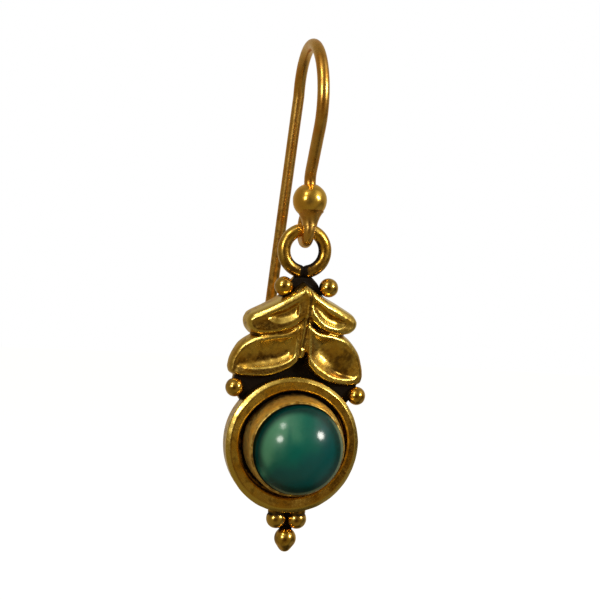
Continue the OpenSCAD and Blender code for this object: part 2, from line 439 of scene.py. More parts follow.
def add(tree, kind, **values):
    """A node with its properties and, by name, the values or links of its inputs."""
    node = tree.nodes.new(kind)
    for key, value in values.items():
        if hasattr(node, key):
            setattr(node, key, value)
        else:
            plug(tree, node.inputs[key.replace("_", " ")], value)
    return node


def plug(tree, socket, value):
    if isinstance(value, bpy.types.NodeSocket):
        tree.links.new(value, socket)
    else:
        socket.default_value = value


def noise(tree, where, scale, detail=2.0, rough=0.5):
    node = add(tree, "ShaderNodeTexNoise", Vector=where, Scale=scale, Detail=detail, Roughness=rough)
    return node.outputs["Fac"]


def spread(tree, value, low, high, to_low=0.0, to_high=1.0):
    node = add(tree, "ShaderNodeMapRange", interpolation_type="SMOOTHSTEP", Value=value)
    for key, number in (("From Min", low), ("From Max", high), ("To Min", to_low), ("To Max", to_high)):
        node.inputs[key].default_value = number
    return node.outputs["Result"]


def mix(tree, share, a, b, blend="MIX"):
    node = add(tree, "ShaderNodeMix", data_type="RGBA", blend_type=blend, Factor=share)
    for socket, value in zip([s for s in node.inputs if s.type == "RGBA"], (a, b)):
        plug(tree, socket, value)
    return [s for s in node.outputs if s.type == "RGBA"][0]


def math_node(tree, operation, a, b):
    node = add(tree, "ShaderNodeMath", operation=operation)
    plug(tree, node.inputs[0], a)
    plug(tree, node.inputs[1], b)
    return node.outputs[0]


def brass(name, light, deep, polish, wear=1.0, dull=0.0):
    """Aged brass: patches of a light, a deep and an olive colour, fine scratches, and patina and painted
    light from the mesh.

    The mesh's value is 0 on plain metal and 1 where it is black; between, it browns the metal for tarnish
    and for painted shade, and below 0 it lightens crests worn bright and painted highlights.
    polish is the roughness of the cleanest metal, wear the strength of tarnish, dents and scratches, and
    dull the share of a matt skin on the metal.
    """
    material, tree, shader = tree_of(name, BRASS_CONSTANTS)
    where = add(tree, "ShaderNodeTexCoord").outputs["Object"]
    patches = noise(tree, where, 800, 3.0)
    mottle = noise(tree, where, 2600, 3.0)
    grain = noise(tree, where, 7000)
    metal = mix(tree, spread(tree, patches, 0.4, 0.66), light + (1,), deep + (1,))
    metal = mix(tree, spread(tree, mottle, 0.48, 0.72, 0.0, 0.55 * wear), metal, OLIVE_TARNISH)
    patina_and_painted_light = add(tree, "ShaderNodeAttribute", attribute_name="patina_and_painted_light").outputs["Fac"]
    broken = math_node(tree, "ADD", patina_and_painted_light, spread(tree, mottle, 0.3, 0.7, -0.16, 0.16))
    # Below 0 the mesh's value lightens the metal, for worn crests and for painted highlights
    metal = mix(tree, spread(tree, patina_and_painted_light, -0.6, -0.05, 0.85, 0.0), metal, WORN_AND_HIGHLIGHT_BRASS)
    # Above 0 it browns the metal, for tarnish and for painted shade, and blackens it where it is highest
    browned_and_shaded = spread(tree, broken, 0.1, 0.5)
    mask = spread(tree, broken, 0.4, 0.85)
    metal = mix(tree, browned_and_shaded, metal, BROWN_TARNISH_AND_SHADE)
    plug(tree, shader.inputs["Base Color"], mix(tree, mask, metal, BLACK_PATINA))
    plug(tree, shader.inputs["Metallic"], spread(tree, mask, 0.2, 1.0, 1.0 - dull, 0.25))
    rough = math_node(tree, "ADD", spread(tree, grain, 0.3, 0.75, polish - 0.04, polish + 0.1 * wear),
                      spread(tree, mask, 0.0, 1.0, 0.0, 0.3))
    plug(tree, shader.inputs["Roughness"], rough)
    stretched = add(tree, "ShaderNodeMapping", Vector=where)
    stretched.inputs["Scale"].default_value = (1.0, 0.35, 0.12)
    scratches = noise(tree, stretched.outputs["Vector"], 9000, 1.0)
    dents = noise(tree, where, 1700)
    coarse = add(tree, "ShaderNodeBump", Height=dents, Strength=0.5, Distance=DENT_DEPTH * wear)
    fine = add(tree, "ShaderNodeBump", Height=scratches, Strength=0.35, Distance=SCRATCH_DEPTH * wear,
               Normal=coarse.outputs["Normal"])
    plug(tree, shader.inputs["Normal"], fine.outputs["Normal"])
    return material


def onyx(name):
    """Translucent teal stone, milky and greener towards its upper left, with painted shade at its edge under
    the bezel.

    The light that goes through the stone shows as a thin pale line along its lower right edge.
    """
    material, tree, shader = tree_of(name, ONYX_CONSTANTS)
    where = add(tree, "ShaderNodeTexCoord").outputs["Object"]
    cloud = add(tree, "ShaderNodeAttribute", attribute_name="cloud").outputs["Fac"]
    edge = add(tree, "ShaderNodeAttribute", attribute_name="edge").outputs["Fac"]
    veins = noise(tree, where, 420, 4.0, 0.55)
    haze = math_node(tree, "ADD", cloud, spread(tree, veins, 0.25, 0.75, -0.12, 0.12))
    body = mix(tree, spread(tree, haze, 0.0, 0.42), ONYX_DEEP, ONYX_TEAL)
    body = mix(tree, spread(tree, haze, 0.34, 1.05), body, ONYX_MILK)
    # Painted shade darkens the edge under the bezel
    body = mix(tree, edge, body, ONYX_RIM_SHADE)
    lit = add(tree, "ShaderNodeAttribute", attribute_name="lit").outputs["Fac"]
    plug(tree, shader.inputs["Base Color"], mix(tree, lit, body, ONYX_LIT))
    waves = noise(tree, where, 1500)
    bump = add(tree, "ShaderNodeBump", Height=waves, Strength=0.2, Distance=STONE_WAVE_DEPTH)
    plug(tree, shader.inputs["Normal"], bump.outputs["Normal"])
    return material


HOOK_BRASS = brass("hook_brass", (0.97, 0.58, 0.14), (0.9, 0.43, 0.07), polish=0.3, wear=0.5)
BEAD_BRASS = brass("bead_brass", (1.0, 0.66, 0.12), (1.0, 0.55, 0.08), polish=0.21, wear=0.2, dull=0.1)
SETTING_BRASS = brass("setting_brass", (0.92, 0.62, 0.14), (0.86, 0.48, 0.06), polish=0.23)
GRANULE_BRASS = brass("granule_brass", (0.9, 0.6, 0.13), (0.82, 0.48, 0.07), polish=0.17, wear=0.5)
CUP_BRASS = brass("cup_brass", (0.95, 0.72, 0.22), (0.9, 0.6, 0.14), polish=0.36, dull=0.2)
TEAL_ONYX = onyx("teal_onyx")


# Ear wire and bead
def arc(centre, radius, start, end):
    x, y = centre
    n = max(3, int(abs(end - start) * radius / 0.12))
    return [(x + radius * math.cos(a), y + radius * math.sin(a)) for a in np.linspace(start, end, n)]


def upright(line, x):
    """A flat line of (y, z) stood up at that x."""
    return np.column_stack([np.full(len(line), x), line])


def upper_path():
    """The wire's line from the bead's foot over the arch to the leg's tip, before it leans to the left."""
    arch = (0.0, WIRE_R - ARCH_R)
    neck = (-NECK_R, BEAD_Z + BEAD_R + NECK_RISE)
    to_arch = (arch[0] - neck[0], arch[1] - neck[1])
    lean = math.atan2(*reversed(to_arch)) - math.acos((ARCH_R + NECK_R) / math.hypot(*to_arch))
    line = [(0.0, z) for z in np.linspace(BEAD_Z - BEAD_R - GAP, neck[1], 24)]
    line += arc(neck, NECK_R, 0, lean)[1:]
    line += arc(arch, ARCH_R, math.pi + lean, BACK_LEAN)
    line = upright(line, 0.0)
    leg = np.array([-math.sin(LEG_SPLAY), math.cos(LEG_SPLAY) * math.sin(BACK_LEAN),
                    -math.cos(LEG_SPLAY) * math.cos(BACK_LEAN)])
    return np.vstack([line, line[-1] + np.linspace(0, BACK_LEN, 100)[1:, None] * leg])


def wire_path():
    """The whole ear wire's line, from the end of the eye to the tip of the long leg, with even steps."""
    eye = (EYE_R, FOOT.z - (EYE_DROP - BEAD_R - GAP))
    low = upright(arc(eye, EYE_R, math.pi + EYE_SWEEP, math.pi) + [(0.0, FOOT.z - 0.25)], FOOT.x)
    high = upper_path() @ np.array(LEANING.to_3x3()).T
    line = np.vstack([low, high])
    steps = np.concatenate([[0], np.cumsum(np.linalg.norm(np.diff(line, axis=0), axis=1))])
    at = np.linspace(0, steps[-1], int(steps[-1] / WIRE_STEP))
    return np.stack([np.interp(at, steps, line[:, i]) for i in range(3)], -1)


def ear_wire():
    """Hand-bent wire, slightly uneven above the bead and browner at the foot of the long leg."""
    path = wire_path()
    for _ in range(3):
        path[1:-1] = (path[:-2] + 2 * path[1:-1] + path[2:]) / 4
    path[:, 0] += ripple(path, 0.012, 9.0, 4) * smoothstep(-11, -6, path[:, 2])
    points, faces = tube(path, WIRE_R, WIRE_SIDES, (1, 0, 0))
    brown = 0.2 * smoothstep(-5.0, -15.0, points[:, 2]) * smoothstep(3.5, 5.0, points[:, 1])
    make_piece("ear_wire", points, faces, WORLD_MM, "hook", "hook_brass", "ear_hook", HOOK_BRASS, brown)


def eye_collar():
    """Flared collar of solder between the eye and the bead, hollow on top where the bead sits."""
    seat = BEAD_R + GAP / 3
    reach = math.asin(COLLAR_R / seat)
    a = np.linspace(0.08, reach, 16)
    top = np.stack([seat * np.sin(a), seat * (1 - np.cos(a))], -1)
    t = np.linspace(0, 1, 22)[1:]
    low, high = -COLLAR_DOWN, top[-1, 1]
    flare = COLLAR_THIN + (COLLAR_R - COLLAR_THIN) * (1 - t) ** 2.1
    side = np.stack([flare, high + (low - high) * t], -1)
    points, faces = turned(np.vstack([top, side]), 48)
    points[:, :2] *= 1 + ripple(points, 0.02, 0.9, 14)[:, None]
    place = Matrix.Translation(FOOT * MM) @ WORLD_MM
    shade = 0.1 + 0.1 * smoothstep(0.25, high, points[:, 2])
    make_piece("eye_collar", points, faces, place, "hook", "hook_brass", "ear_hook", HOOK_BRASS, shade)


def hook_bead():
    """Drilled bead: its outside from one rim of the bore to the other, then the bore."""
    edge = math.asin(BORE_R / BEAD_R) + 0.06
    a = np.linspace(edge, math.pi - edge, 46)
    outside = np.stack([BEAD_R * np.sin(a), -BEAD_R * np.cos(a)], -1)
    rim = BEAD_R * math.cos(edge)
    flare, chamfer = 0.02, 0.06
    bore_end = [(BORE_R + flare, rim - flare), (BORE_R, rim - chamfer)]
    bore = bore_end + [(BORE_R, 0)] + [(r, -z) for r, z in reversed(bore_end)]
    segments = 64
    points, faces = lathe(np.vstack([outside, bore]), segments)
    first = len(points) - segments
    faces += [[first + i, first + (i + 1) % segments, (i + 1) % segments, i] for i in range(segments)]
    radial = points / np.linalg.norm(points, axis=1)[:, None]
    points += radial * (ripple(points, 0.007, 1.4, 11) + ripple(points, 0.002, 0.5, 12))[:, None]
    place = Matrix.Translation(BEAD_MIDDLE * MM) @ LEANING @ WORLD_MM
    shade = 0.75 * smoothstep(0.62, 0.46, np.hypot(points[:, 0], points[:, 1]))
    make_piece("bead", points, faces, place, "hook", "bead_brass", "hook_bead", BEAD_BRASS, shade)


# Hanging ring, granules and drums
def drop_piece(name, points, faces, shade=None, matrix=None, material=SETTING_BRASS):
    """A piece of the setting, in the frame of the drop's face."""
    place = FACE if matrix is None else FACE @ matrix
    return make_piece(name, points, faces, place, "drop", "setting_brass", "drop_setting", material, shade)


def hanging_ring():
    """Open ring whose two ends are pinched towards each other over the leaves."""
    half_slot = (RING_SLOT / 2 + 0.16) / RING_R
    a = np.linspace(-math.pi / 2 + half_slot, 3 * math.pi / 2 - half_slot, 90)
    path = np.stack([RING_R * np.cos(a), RING_R * np.sin(a), 0 * a], -1)
    points, faces = tube(path, RING_WIRE_R, WIRE_SIDES, (0, 0, 1))
    x, y = np.abs(points[:, 0]), points[:, 1]
    points[:, 2] *= 1 - 0.3 * smoothstep(-1.2, -1.5, y) * smoothstep(0.35, 0.1, x)
    points[:, 2] += ripple(points, 0.008, 1.6, 21)
    inner = smoothstep(1.2, 1.04, np.hypot(x, y))
    cut = smoothstep(0.3, 0.2, x) * smoothstep(-0.8, -1.1, y)
    shade = 0.95 * inner * smoothstep(0.6, -0.3, y - 0.8 * points[:, 0]) + 0.9 * cut
    # Painted shade on the lower half of the ring
    shade += 0.36 * smoothstep(-0.1, -1.0, y)
    drop_piece("hanging_ring", points, faces, np.clip(shade, 0, 1))


def granule_shade(points, diameter):
    """Brown towards the back of a granule."""
    return 0.12 + 0.4 * smoothstep(0.25, -0.1, points[:, 2] / diameter)


def granules():
    """Soldered balls, each a little uneven. The last one has a small point at its foot."""
    for seed, (name, x, y, z, diameter) in enumerate(GRANULES):
        points, faces = ball(diameter / 2)
        points *= 1 + ripple(points, 0.012, 1.1, 30 + seed)[:, None]
        drop_piece(name, points + (x, y, z), faces, granule_shade(points, diameter), material=GRANULE_BRASS)
    x, y, z, diameter = LAST_GRANULE
    points, faces = ball(diameter / 2, 36, 48)
    points *= 1 + ripple(points, 0.01, 1.2, 40)[:, None]
    down = -points[:, 1] / (diameter / 2)
    points[:, 1] -= LAST_TIP * smoothstep(0.55, 1.0, down) ** 2
    shade = granule_shade(points, diameter)
    drop_piece("granule_last", points + (x, y, z), faces, shade, material=GRANULE_BRASS)


def foot_drums():
    for side, (_, x, _, z, _) in zip(("left", "right"), GRANULES[4:]):
        profile = rounded([(0.05, 0), (DRUM_R, 0), (DRUM_R, DRUM_H), (0.05, DRUM_H)], 0.1)
        points, faces = turned(profile, 40)
        points[:, :2] *= 1 + ripple(points, 0.015, 0.9, 50 + len(side))[:, None]
        stand = Matrix.Translation((x, DRUM_Y, z)) @ Matrix.Rotation(math.pi / 2, 4, "X")
        drop_piece("foot_drum_" + side, points, faces, None, stand)


# Flat ring, bezel cup and stone
def on_stone_axis(points):
    return points + (0, -STONE_DROP, 0)


def flat_ring():
    """Plate with a raised flat ring, a little out of round, dark inside, with painted shade on its outer
    wall, and lightened on its outer bevel by wear and a painted highlight.
    """
    inner = BAND_R - BAND_W
    bevel = BAND_R - 0.3
    profile = rounded([
        (0.1, PLATE_BACK), (BAND_R - 0.03, PLATE_BACK, 0.1), (BAND_R, PLATE_BACK + 0.3, 0.2),
        (BAND_R, BAND_TOP - 0.2, 0.08), (bevel, BAND_TOP - 0.01, 0.1), (bevel - 0.14, BAND_TOP - 0.03, 0.1),
        (inner + 0.1, BAND_TOP - 0.08, 0.06), (inner, BAND_TOP - 0.2, 0.05),
        (inner + 0.02, PLATE_TOP, 0.12), (0.1, PLATE_TOP),
    ], 0.08)
    points, faces = turned(profile, ROUND_SEGMENTS)
    x, y, height = points.T
    r = np.hypot(x, y)
    out_of_round = ripple(points * (1, 1, 0), 0.0028, 5.0, 61) + ripple(points, 0.0012, 1.1, 62)
    points[:, :2] *= 1 + out_of_round[:, None]
    uneven = ripple(points, 0.022, 2.6, 63) + ripple(points, 0.006, 0.8, 64)
    height += uneven * smoothstep(0.4, 1.0, height)
    outwards = smoothstep(inner, BAND_R, r)
    y -= 0.2 * smoothstep(inner + 0.3, inner + 0.1, r) * smoothstep(0.0, 0.8, y / inner)
    x -= 0.06 + 0.06 * outwards
    y -= 0.1 * outwards * (1 + smoothstep(0.0, -BAND_R, y))
    recess = 0.5 * smoothstep(1.0, 0.6, height) * smoothstep(-0.3, 0.1, height)
    recess *= smoothstep(inner + 0.2, inner + 0.05, r)
    # Wear and a painted highlight lighten the outer bevel; the top is a little browner
    edge = smoothstep(bevel - 0.06, bevel + 0.04, r) * smoothstep(0.85, 0.95, height)
    wear_and_painted_highlight = 0.1 * smoothstep(0.9, 1.1, height) - 0.6 * edge
    # Painted shade on the ring's outer wall
    painted_wall_shade = 0.32 * smoothstep(0.95, 0.85, height) * smoothstep(BAND_R - 0.2, BAND_R - 0.08, r)
    drop_piece("flat_ring", on_stone_axis(points), faces, np.clip(recess + wear_and_painted_highlight + painted_wall_shade, -1, 1))


def bezel_cup():
    """Cup that narrows from the plate to the lip which is rubbed over the stone's edge."""
    foot_z = PLATE_TOP - 0.2
    bed_z = 1.27
    wall_r = STONE_R + 0.03
    profile = rounded([
        (0.1, foot_z), (CUP_FOOT_R, foot_z), (CUP_FOOT_R - 0.02, 0.6, 0.2),
        (CUP_R - 0.03, GIRDLE_TOP - 0.2, 0.2), (CUP_R - 0.16, CUP_TOP - 0.03, 0.07),
        (STONE_R, CUP_TOP, 0.04), (STONE_R - 0.03, CUP_TOP - 0.06, 0.02),
        (wall_r, GIRDLE_TOP - 0.1), (wall_r, bed_z), (0.1, bed_z),
    ], 0.05)
    points, faces = turned(profile, ROUND_SEGMENTS)
    x, y, height = points.T
    out_of_round = ripple(points * (1, 1, 0), 0.003, 3.2, 71) + ripple(points, 0.0015, 0.8, 72)
    points[:, :2] *= 1 + out_of_round[:, None]
    height += ripple(points, 0.012, 1.7, 73) * smoothstep(1.9, 2.4, height)
    r = np.hypot(x, y)
    points[:, :2] += np.outer(height / CUP_TOP, LIP_SHIFT)
    y -= 0.1 * smoothstep(1.3, 0.5, height) * smoothstep(0.0, 0.8, y / CUP_FOOT_R)
    # The lip is browned as a painted reflection of the dark stone beside it
    lip = 0.32 * smoothstep(CUP_TOP - 0.16, CUP_TOP - 0.05, height)
    # Painted shade darkens the wall towards its foot, most on the cup's upper side
    foot = (0.05 + 0.7 * smoothstep(0.0, 0.9, y / CUP_R)) * smoothstep(1.7, 0.6, height)
    shade = foot + lip + smoothstep(wall_r, STONE_R - 0.02, r)
    drop_piece("bezel_cup", on_stone_axis(points), faces, np.clip(shade, 0, 1), material=CUP_BRASS)


# Milky clouds in the stone, and darker ones below zero. The cloud at the lower left edge is a painted glow
# of light through the stone, and the dark one at the upper right is painted shade.
# columns: x, y, half width, half height, amount
CLOUDS = [
    (-1.4, -1.8, 0.9, 0.8, -0.35),
    (-2.1, -0.6, 0.4, 0.9, 0.25),
    (-2.3, -1.8, 0.4, 0.4, 0.4),
    (2.0, 1.6, 0.9, 0.9, -0.25),
    (0.3, 2.3, 1.4, 0.6, -0.1),
    (-0.75, 1.3, 0.16, 0.7, -0.14),
    (-1.3, 1.5, 0.6, 0.5, 0.15),
    (-0.2, 0.9, 0.5, 0.4, 0.1),
]
# Where the painted dark edge gives way to a painted green glow of light through the stone, in the same
# columns
GREEN_PATCH = (-2.25, -1.75, 0.55, 0.55, 0.8)


def cabochon():
    """Round domed stone, milky towards its upper left, with painted shade at its edge."""
    dome_r = (STONE_R ** 2 + DOME_H ** 2) / (2 * DOME_H)
    reach = math.asin(STONE_R / dome_r)
    a = np.linspace(reach, 0.01, 44)
    dome = np.stack([dome_r * np.sin(a), GIRDLE_TOP + DOME_H - dome_r + dome_r * np.cos(a)], -1)
    base = GIRDLE_TOP - STONE_DEPTH
    side = [(0.1, base), (STONE_R - 0.08, base), (STONE_R, base + 0.08), (STONE_R, GIRDLE_TOP - 0.2)]
    points, faces = turned(np.vstack([side, dome]), 128)
    x, y, _ = points.T
    r = np.hypot(x, y)
    cloud = 0.36 - 0.2 * x + 0.17 * y + sum(spot(x, y, *row) for row in CLOUDS)
    middle = Vector((LIP_SHIFT[0], LIP_SHIFT[1] - STONE_DROP, GIRDLE_TOP))
    askew = Matrix.Rotation(STONE_TILT, 4, Vector((-math.sin(STONE_TURN), math.cos(STONE_TURN), 0)))
    place = FACE @ Matrix.Translation(middle) @ askew
    on_girdle = points - (0, 0, GIRDLE_TOP)
    piece = make_piece("cabochon", on_girdle, faces, place, "drop", "teal_onyx", "onyx_cabochon", TEAL_ONYX)
    store(piece.data, "cloud", np.clip(cloud, 0, 1))
    # Painted shade on the stone's edge, lighter where the painted green glow is
    store(piece.data, "edge", smoothstep(2.25, 2.7, r) * (1 - spot(x, y, *GREEN_PATCH)))
    lit = smoothstep(2.86, 2.98, r) * smoothstep(-1.0, 1.8, x - y)
    lit *= smoothstep(STONE_R, STONE_R - 0.05, r)
    store(piece.data, "lit", lit)


# Cast relief: back plate, leaves and stem in one surface
RELIEF_STEP = 0.045
# Slope of the walls down to the plate
DRAFT = 8.0
CREASE_FLOOR = -2.5

# Strokes of each side's leaves: the upper leaf's rim and the scoop in it, then the lower leaf's rim and
# the bowl in it. A hollow's foot runs between the ends of its top. X is counted away from the middle.
# columns: x, y
RIGHT_LEAVES = {
    "ridge": [(0, -2.34), (0.8, -2.88), (1.6, -3.34), (2.5, -3.78), (3.4, -4.22), (3.72, -4.38)],
    "end": [(3.72, -4.38), (3.95, -4.75), (3.85, -5.2), (3.48, -5.55)],
    "foot": [(3.48, -5.55), (2.7, -5.6), (1.75, -5.42), (1.15, -5.15), (0.6, -4.7), (0.0, -4.2)],
    "scoop_top": [(0.45, -3.12), (1.27, -3.65), (1.87, -4.14), (2.73, -4.52), (3.08, -4.74)],
    "scoop_foot": [(0.44, -3.75), (0.9, -4.42), (1.5, -4.98), (2.3, -5.2), (2.85, -5.05)],
    "back": [(0.46, -4.9), (1.2, -5.42), (2.3, -5.6), (3.1, -5.82), (3.75, -6.25), (4.4, -7.05),
             (4.72, -7.95), (4.8, -8.6)],
    "low_foot": [(4.8, -8.6), (4.58, -9.08), (3.95, -9.14), (3.11, -9.1), (2.01, -8.86), (1.16, -8.38),
                 (0.54, -7.75)],
    "bowl_top": [(0.66, -5.45), (1.3, -5.78), (2.3, -5.9), (3.2, -6.22), (3.92, -6.95), (4.33, -7.8),
                 (4.4, -8.45)],
    "bowl_foot": [(0.66, -6.5), (0.74, -7.35), (1.35, -8.0), (2.15, -8.44), (3.09, -8.68), (3.95, -8.7)],
}
LEFT_LEAVES = {
    "ridge": [(0, -2.34), (0.5, -2.76), (1.3, -3.28), (2.54, -3.94), (3.4, -4.36), (3.66, -4.52)],
    "end": [(3.66, -4.52), (3.82, -4.88), (3.72, -5.36), (3.42, -5.7)],
    "foot": [(3.42, -5.7), (2.75, -5.8), (1.6, -5.62), (0.64, -5.22), (0.2, -4.85), (0, -4.7)],
    "scoop_top": [(0.0, -3.2), (0.35, -3.38), (0.95, -3.72), (1.5, -4.05), (2.1, -4.28), (2.6, -4.5)],
    "scoop_foot": [(0.1, -3.9), (0.2, -4.3), (0.87, -4.75), (1.63, -5.0), (2.3, -4.82)],
    "back": [(0.2, -4.9), (1.0, -5.5), (2.2, -5.75), (3.25, -6.02), (3.98, -6.45), (4.4, -7.05),
             (4.7, -7.65), (4.8, -8.2)],
    "low_foot": [(4.8, -8.2), (4.6, -8.56), (3.96, -8.72), (2.88, -8.72), (1.81, -8.53), (0.77, -8.03),
                 (0.18, -7.55)],
    "bowl_top": [(0.4, -5.8), (1.24, -5.95), (2.38, -6.15), (3.19, -6.45), (4.0, -7.15), (4.42, -7.95)],
    "bowl_foot": [(0.36, -6.7), (0.46, -7.25), (1.0, -7.68), (1.84, -8.04), (2.91, -8.16), (3.99, -8.16)],
}
# Depth across a hollow, from its back edge to its foot edge
# columns: share of the way, share of the depth
SCOOP_PROFILE = [(0, 0), (0.2, 0.88), (0.3, 1.0), (0.58, 0.88), (1, 0)]
RIGHT_BOWL = [(0, 0), (0.08, 0.2), (0.22, 0.55), (0.38, 0.9), (0.5, 1.0), (0.64, 0.93), (0.8, 0.62),
              (0.92, 0.24), (1, 0)]
RIGHT_BOWL_TIP = [(0, 0), (0.12, 0.1), (0.4, 0.5), (0.7, 0.92), (0.84, 1.0), (0.93, 0.6), (1, 0)]
LEFT_BOWL = [(0, 0), (0.08, 0.22), (0.2, 0.5), (0.4, 0.84), (0.6, 1.0), (0.74, 0.92), (0.88, 0.5),
             (0.95, 0.18), (1, 0)]
SCOOP_DEPTH = 0.31
BOWL_DEPTH = 0.48
# Brown patches of painted shade in the hollows
# columns: x, y, half width, half height, amount
PAINTED_SHADE_PATCHES = [
    (3.2, -7.6, 1.0, 0.9, 0.65),
    (3.0, -8.4, 1.3, 0.42, 0.45),
    (1.85, -4.55, 0.5, 0.2, 0.4),
    (-2.5, -7.35, 1.4, 0.35, 0.45),
    (-1.7, -6.0, 1.5, 0.3, 0.25),
    (-1.6, -5.62, 1.6, 0.16, 0.35),
    (1.3, -5.3, 0.5, 0.16, 0.3),
    (-0.2, -4.5, 0.4, 0.8, 0.2),
]
# Filed bevel along the outer side of the crests
BEVEL_W = 0.36
BEVEL_SLOPE = 0.52
# Radii of the upper leaf's crest, its end and the band at its foot, and of the lower leaf's rim
CREST_R = 0.12
END_R = 0.22
FOOT_R = 0.36
RIM_R = 0.14
# The bare plate behind the granules, and where it goes under the flat ring
NECK_OUTLINE = [(-0.5, -1.75), (0.6, -1.75), (1.15, -2.3), (1.6, -3.2), (-1.5, -3.2), (-0.95, -2.3)]
LAP_OUTLINE = [(0.3, -6.8), (4.2, -8.2), (4.45, -9.6), (3.2, -11.2),
               (-3.2, -11.2), (-4.45, -9.6), (-4.2, -8.2), (-0.3, -6.8)]
# Stem: its middle line, half its width, its height at the top, and how it falls to its foot and sides
STEM_LINE = [(0.12, -4.2), (0.1, -5.2), (0.08, -6.2), (0.0, -7.1)]
STEM_HALF = 0.32
STEM_H = 1.12
STEM_FALL = 0.06
STEM_FLANK = 1.1
# Groove from where the upper leaves meet down along the stem
SEAM_LINE = [(0.16, -2.55), (0.28, -2.76), (0.42, -3.32), (0.4, -4.0), (0.36, -4.7), (0.26, -5.6),
             (0.1, -6.6)]
SEAM_DEPTH = 0.13


def crown(h, x):
    """Height of a leaf's crests, which fall off to both sides of the middle."""
    return PLATE_TOP + h - CROWN_R + np.sqrt(CROWN_R ** 2 - np.clip(np.abs(x), 0, 6) ** 2)


def rim_drop(d, r):
    """How far a rounded rim of radius r lies below its crest at the distance d in from its edge."""
    t = np.clip(1 - d / r, 0, 1)
    return r * (1 - np.sqrt(1 - t * t))


def hollow(x, y, top, foot, profile, width):
    """Share of the depth of a hollow between two strokes that meet at top's ends, full from that width."""
    top, foot = curve(top), curve(top[:1] + foot + top[-1:])
    a, b = distance_to(x, y, top), distance_to(x, y, foot)
    share, shape = zip(*profile)
    deep = np.interp(a / (a + b + 1e-9), share, shape) * np.clip((a + b) / width, 0, 1)
    return np.where(inside(x, y, np.vstack([top, foot[::-1]])), deep, 0)


def upper_leaf(x, y, strokes):
    """Roof-like leaf with a round crest along its back, a scoop, and a band that rolls over at its foot."""
    ridge, end, foot = (curve(strokes[name]) for name in ("ridge", "end", "foot"))
    outline = np.vstack([ridge, end[1:], foot[1:], [(-0.5, -4.4), (-0.45, -3.2)]])
    to_ridge, to_end, to_foot = (distance_to(x, y, line) for line in (ridge, end, foot))
    rims = ((to_ridge, CREST_R), (to_end, END_R), (to_foot, FOOT_R))
    weights = [1 / (d + 0.03) ** 4 for d, _ in rims]
    radius = sum(r * weight for (_, r), weight in zip(rims, weights)) / sum(weights)
    near = np.minimum(np.minimum(to_ridge, to_end), to_foot)
    top = crown(UPPER_H, x)
    within = inside(x, y, outline)
    drops = sum(rim_drop(d, r) for d, r in rims)
    z = np.where(within, top - np.minimum(drops, radius), top - radius - DRAFT * near)
    z -= BEVEL_SLOPE * np.clip(BEVEL_W - np.minimum(to_ridge, to_end + 0.08), 0, BEVEL_W) * within
    z -= 0.1 * smoothstep(0.25, 0.85, to_ridge) * smoothstep(0.0, 0.5, to_end) * within
    z -= SCOOP_DEPTH * hollow(x, y, strokes["scoop_top"], strokes["scoop_foot"], SCOOP_PROFILE, 0.8)
    return z


def lower_leaf(x, y, strokes, bowl, bowl_tip):
    """Leaf like a shallow bowl, with a round rim and a wider band along its foot."""
    back, foot = curve(strokes["back"]), curve(strokes["low_foot"])
    root = np.array([strokes["low_foot"][-1], strokes["back"][0]], float)
    to_back, to_foot, to_root = (distance_to(x, y, line) for line in (back, foot, root))
    near = np.minimum(np.minimum(to_back, to_foot), to_root)
    top = crown(LOWER_H, x)
    within = inside(x, y, np.vstack([back, foot[1:]]))
    z = np.where(within, top - rim_drop(near, RIM_R), top - RIM_R - DRAFT * near)
    depth = BOWL_DEPTH * (1 - 0.5 * smoothstep(2.0, 4.2, x))
    tip = smoothstep(1.6, 2.9, x)
    for profile, share in ((bowl, 1 - tip), (bowl_tip, tip)):
        z -= share * depth * hollow(x, y, strokes["bowl_top"], strokes["bowl_foot"], profile, 1.5)
    z -= BEVEL_SLOPE * np.clip(BEVEL_W - to_back, 0, BEVEL_W) * within
    z -= 0.1 * smoothstep(0.2, 0.45, to_back) * within
    return z


def stem(x, y):
    """Thin round stem between the lower leaves, steep at its foot."""
    top = PLATE_TOP + STEM_H + STEM_FALL * (y - STEM_LINE[0][1])
    d = distance_to(x, y, curve(STEM_LINE))
    round_top = STEM_HALF - np.sqrt(np.clip(STEM_HALF ** 2 - d ** 2, 0, 1))
    flank = STEM_FLANK + (DRAFT - STEM_FLANK) * smoothstep(-6.8, -7.3, y)
    return top - np.where(d < 0.9 * STEM_HALF, round_top, 0.15 + flank * (d - 0.9 * STEM_HALF))


